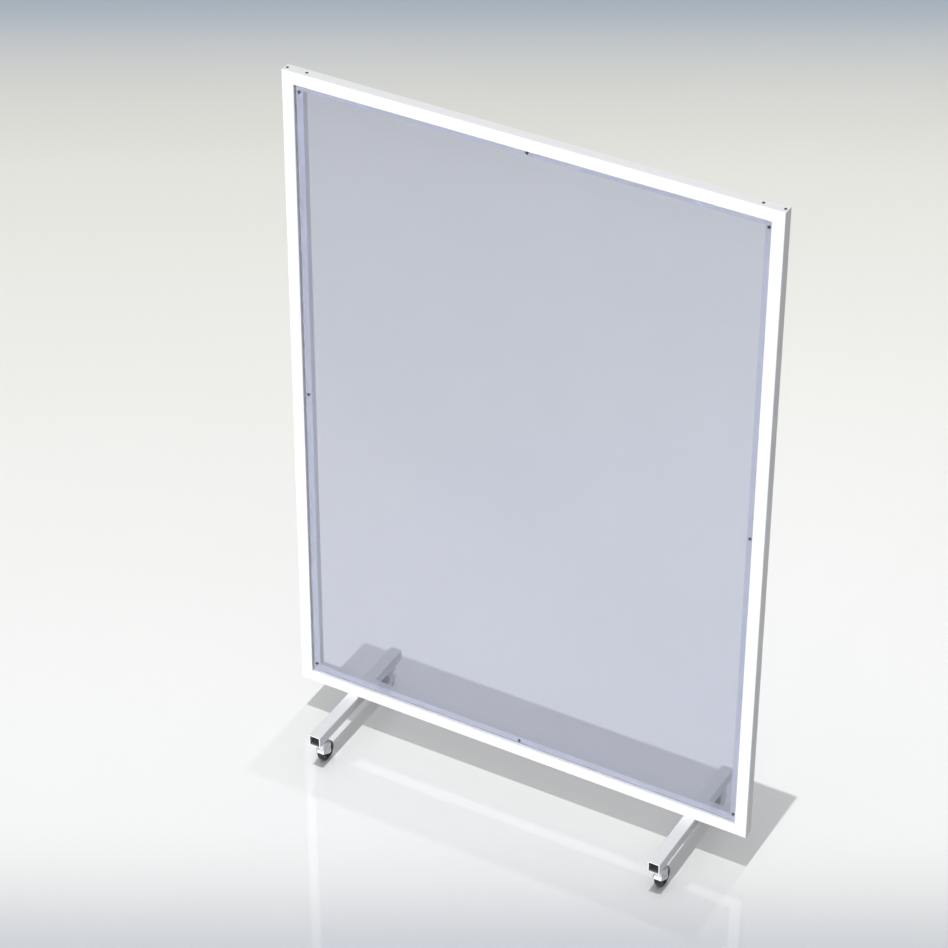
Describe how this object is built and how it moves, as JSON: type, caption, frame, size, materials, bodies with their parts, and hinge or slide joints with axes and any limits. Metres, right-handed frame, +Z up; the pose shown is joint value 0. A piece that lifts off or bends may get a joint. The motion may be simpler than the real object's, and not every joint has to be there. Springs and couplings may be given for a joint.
{
  "type": "partition wall",
  "caption": "Free-standing partition wall: a white square-tube frame holding a clear tinted panel, on two foot tubes with hooded swivel casters",
  "frame": {"origin": "on the floor, at the middle of the width and of the foot length", "axes": "+Z up, -Y towards the front (the side with the panel screws), +X to the right seen from the front"},
  "size_m": [1.524, 0.495, 2.2729],
  "materials": {
    "frame_paint": "satin white powder coat on square steel tube",
    "stop_paint": "satin white powder coat on thin square steel tube",
    "panel_sheet": "clear acrylic sheet with a blue-grey tint, polished",
    "connector_casting": "cast, unpainted",
    "black_screws": "black-coated steel",
    "zinc_fasteners": "bright zinc plate",
    "caster_zinc": "bright plated pressed steel",
    "bearing_steel": "polished ball steel",
    "hub_plastic": "moulded black",
    "bushing_plastic": "moulded, natural grey",
    "tyre_rubber": "smooth black"
  },
  "bodies": {
    "wall": {"stile_left": "frame_paint", "stile_right": "frame_paint", "rail_top": "frame_paint", "rail_bottom": "frame_paint", "connector_top_left": "connector_casting", "connector_top_right": "connector_casting", "connector_bottom_left": "connector_casting", "connector_bottom_right": "connector_casting", "corner_screws": "black_screws", "stop_left": "stop_paint", "stop_right": "stop_paint", "stop_top": "stop_paint", "stop_bottom": "stop_paint", "panel": "panel_sheet", "panel_screws": "black_screws", "panel_rivet_nuts": "zinc_fasteners", "foot_left": "frame_paint", "foot_right": "frame_paint", "foot_bolts": "zinc_fasteners", "foot_rivet_nuts": "zinc_fasteners", "caster_stems": "zinc_fasteners", "stem_washers": "zinc_fasteners", "stem_nuts": "zinc_fasteners", "upper_races": "caster_zinc"},
    "caster_front_left": {"hood_front_left": "caster_zinc", "balls_front_left": "bearing_steel", "axle_front_left": "zinc_fasteners"},
    "wheel_front_left": {"hub_front_left": "hub_plastic", "bushing_front_left": "bushing_plastic", "tyre_front_left": "tyre_rubber"},
    "caster_front_right": {"hood_front_right": "caster_zinc", "balls_front_right": "bearing_steel", "axle_front_right": "zinc_fasteners"},
    "wheel_front_right": {"hub_front_right": "hub_plastic", "bushing_front_right": "bushing_plastic", "tyre_front_right": "tyre_rubber"},
    "caster_rear_left": {"hood_rear_left": "caster_zinc", "balls_rear_left": "bearing_steel", "axle_rear_left": "zinc_fasteners"},
    "wheel_rear_left": {"hub_rear_left": "hub_plastic", "bushing_rear_left": "bushing_plastic", "tyre_rear_left": "tyre_rubber"},
    "caster_rear_right": {"hood_rear_right": "caster_zinc", "balls_rear_right": "bearing_steel", "axle_rear_right": "zinc_fasteners"},
    "wheel_rear_right": {"hub_rear_right": "hub_plastic", "bushing_rear_right": "bushing_plastic", "tyre_rear_right": "tyre_rubber"}
  },
  "joints": [
    {"name": "swivel_front_left", "type": "hinge", "parent": "wall", "child": "caster_front_left", "pos_m": [-0.577, -0.2025, 0.0745], "axis": [0, 0, 1], "continuous": true},
    {"name": "roll_front_left", "type": "hinge", "parent": "caster_front_left", "child": "wheel_front_left", "pos_m": [-0.577, -0.1875, 0.03175], "axis": [1, 0, 0], "continuous": true},
    {"name": "swivel_front_right", "type": "hinge", "parent": "wall", "child": "caster_front_right", "pos_m": [0.577, -0.2025, 0.0745], "axis": [0, 0, 1], "continuous": true},
    {"name": "roll_front_right", "type": "hinge", "parent": "caster_front_right", "child": "wheel_front_right", "pos_m": [0.577, -0.1875, 0.03175], "axis": [1, 0, 0], "continuous": true},
    {"name": "swivel_rear_left", "type": "hinge", "parent": "wall", "child": "caster_rear_left", "pos_m": [-0.577, 0.2025, 0.0745], "axis": [0, 0, 1], "continuous": true},
    {"name": "roll_rear_left", "type": "hinge", "parent": "caster_rear_left", "child": "wheel_rear_left", "pos_m": [-0.577, 0.1875, 0.03175], "axis": [1, 0, 0], "continuous": true},
    {"name": "swivel_rear_right", "type": "hinge", "parent": "wall", "child": "caster_rear_right", "pos_m": [0.577, 0.2025, 0.0745], "axis": [0, 0, 1], "continuous": true},
    {"name": "roll_rear_right", "type": "hinge", "parent": "caster_rear_right", "child": "wheel_rear_right", "pos_m": [0.577, 0.1875, 0.03175], "axis": [1, 0, 0], "continuous": true}
  ]
}
